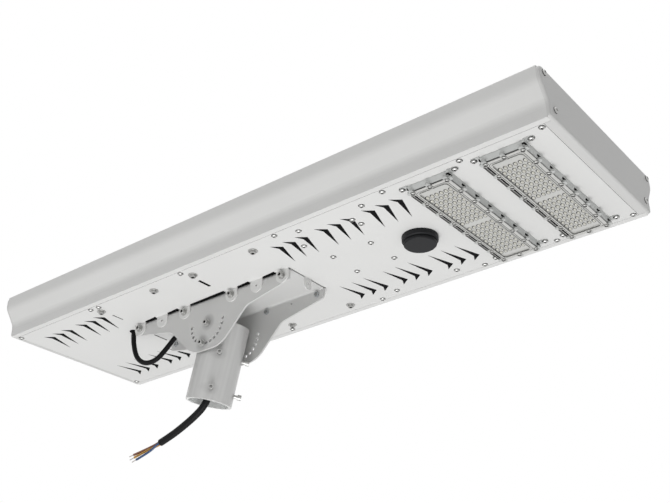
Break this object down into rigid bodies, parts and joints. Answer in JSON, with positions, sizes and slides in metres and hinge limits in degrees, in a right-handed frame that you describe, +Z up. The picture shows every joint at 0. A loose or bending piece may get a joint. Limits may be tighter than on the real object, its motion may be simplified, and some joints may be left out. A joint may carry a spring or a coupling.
{
  "type": "led street light head",
  "caption": "Flat all-in-one LED street light head with a solar panel lid, a sensor, two lens-covered lamp modules and a tilting bracket with a pole socket.",
  "frame": {"origin": "crossing of the tilt axis and the axis of the pole socket", "axes": "+X along the head towards the lamp end, +Y across it, +Z up, towards the solar panel"},
  "size_m": [1.0044, 0.317, 0.2786],
  "materials": {
    "rail_paint": "satin",
    "cap_paint": "satin",
    "plate_paint": "satin",
    "bracket_paint": "satin",
    "socket_paint": "satin",
    "galvanised": "satin",
    "screw_steel": "satin",
    "panel_glass": "gloss",
    "solar_cells": "gloss",
    "back_sheet": "matte",
    "module_metal": "satin",
    "lamp_board": "matte",
    "lamp_yellow": "satin",
    "lens_clear": "gloss",
    "black_rubber": "matte",
    "sensor_plastic": "satin",
    "electronics": "matte",
    "driver_case": "satin",
    "battery_wrap": "satin",
    "lead_sheath": "satin",
    "brown_core": "satin",
    "yellow_core": "satin",
    "blue_core": "satin",
    "copper": "satin"
  },
  "bodies": {
    "socket": {"pole_socket": "socket_paint", "clamp_screws": "screw_steel", "pivot_screws": "screw_steel", "lock_screws": "screw_steel", "tilt_spacers": "galvanised", "cable_tail": "black_rubber", "core_brown": "brown_core", "core_yellow": "yellow_core", "core_blue": "blue_core", "core_strands": "copper"},
    "head": {"side_rail_near": "rail_paint", "side_rail_far": "rail_paint", "front_cap": "cap_paint", "rear_cap": "cap_paint", "bottom_plate": "plate_paint", "cross_beams": "galvanised", "panel_posts": "galvanised", "panel_backing": "back_sheet", "panel_cells": "solar_cells", "panel_glass": "panel_glass", "bracket": "bracket_paint", "plate_screws": "screw_steel", "inner_screws": "screw_steel", "beam_bolts": "screw_steel", "beam_nuts": "galvanised", "bracket_bolts": "screw_steel", "bracket_nuts": "galvanised", "cap_screws": "screw_steel", "led_housing_a": "module_metal", "led_board_a": "lamp_board", "lens_gasket_a": "black_rubber", "lens_a": "lens_clear", "led_lamps_a": "lamp_yellow", "led_housing_b": "module_metal", "led_board_b": "lamp_board", "lens_gasket_b": "black_rubber", "lens_b": "lens_clear", "led_lamps_b": "lamp_yellow", "lens_screws": "screw_steel", "module_screws": "screw_steel", "sensor_base": "sensor_plastic", "sensor_cap": "sensor_plastic", "mains_driver": "driver_case", "charge_controller": "electronics", "battery_tray": "galvanised", "battery_pack": "battery_wrap", "battery_straps": "galvanised", "junction_box": "electronics", "terminal_strip": "electronics", "cable_grommet": "black_rubber", "cable_loop": "black_rubber", "battery_lead": "lead_sheath", "lamp_lead": "lead_sheath", "module_lead": "lead_sheath", "supply_lead": "lead_sheath"}
  },
  "joints": [
    {"name": "head_tilt", "type": "hinge", "parent": "socket", "child": "head", "pos_m": [0, 0, 0], "axis": [0, 1, 0], "range_deg": [-75, 105], "deforming": ["cable_loop", "cable_tail", "core_brown", "core_yellow", "core_blue", "core_strands"]}
  ]
}
